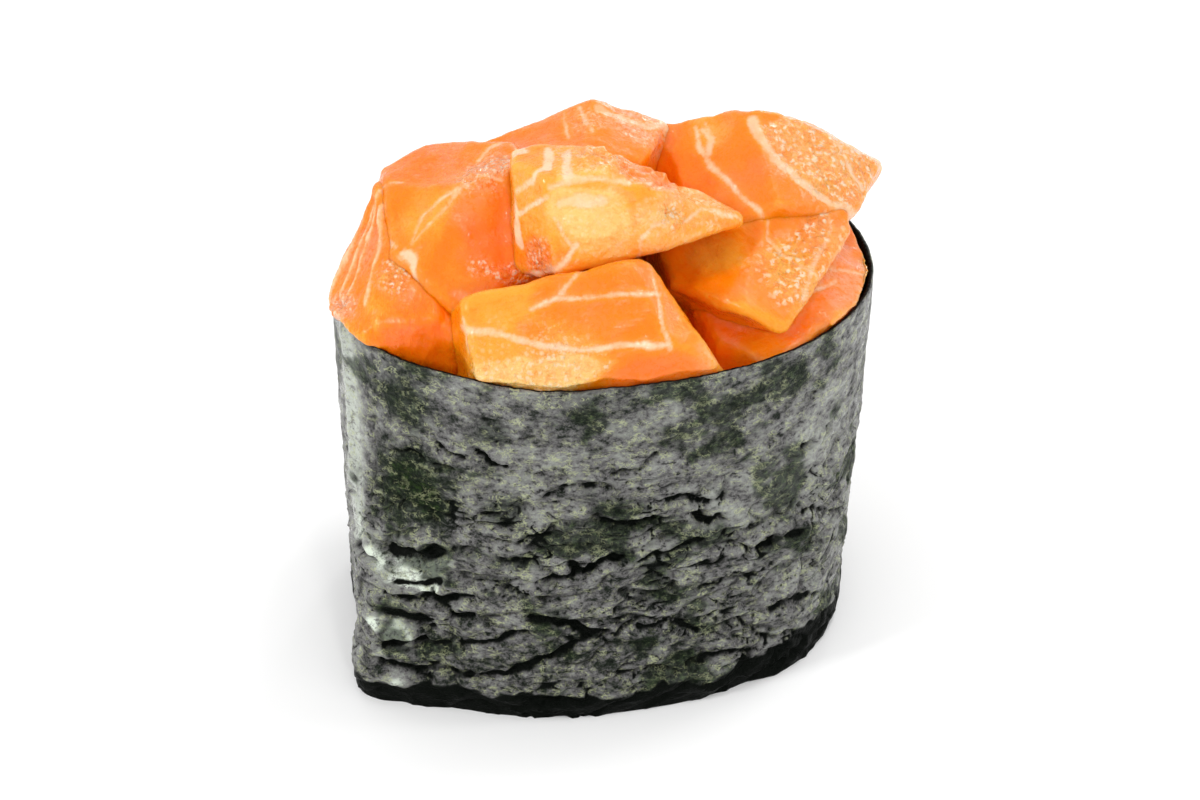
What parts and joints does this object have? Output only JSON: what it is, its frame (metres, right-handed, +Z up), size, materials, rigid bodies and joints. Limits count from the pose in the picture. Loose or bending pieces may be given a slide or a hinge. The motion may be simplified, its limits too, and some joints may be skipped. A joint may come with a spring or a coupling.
{
  "type": "salmon gunkan maki",
  "caption": "Battleship-style sushi: an upright oval band of seaweed filled with rice and heaped with rough-cut raw salmon.",
  "frame": {"origin": "centre of the flat foot the sushi stands on, under the middle of the rim's oval", "axes": "+Z up, X along the long way of the oval, -Y towards the front"},
  "size_m": [0.0507, 0.0376, 0.0503],
  "materials": {
    "nori": "damp dark green-black roasted seaweed, satin, wrinkled",
    "rice": "moist white cooked rice",
    "salmon": "wet raw salmon, orange with pale fat lines",
    "salmon_pale": "wet raw salmon, paler yellow orange with cream fat"
  },
  "bodies": {
    "root": {"nori": "nori", "rice": "rice", "salmon_centre": "salmon_pale", "salmon_right_top": "salmon", "salmon_left_top": "salmon", "salmon_front": "salmon", "salmon_right_flap": "salmon", "salmon_back": "salmon", "salmon_left_low": "salmon", "salmon_right_low": "salmon", "salmon_back_left": "salmon", "salmon_back_right": "salmon"}
  },
  "joints": []
}
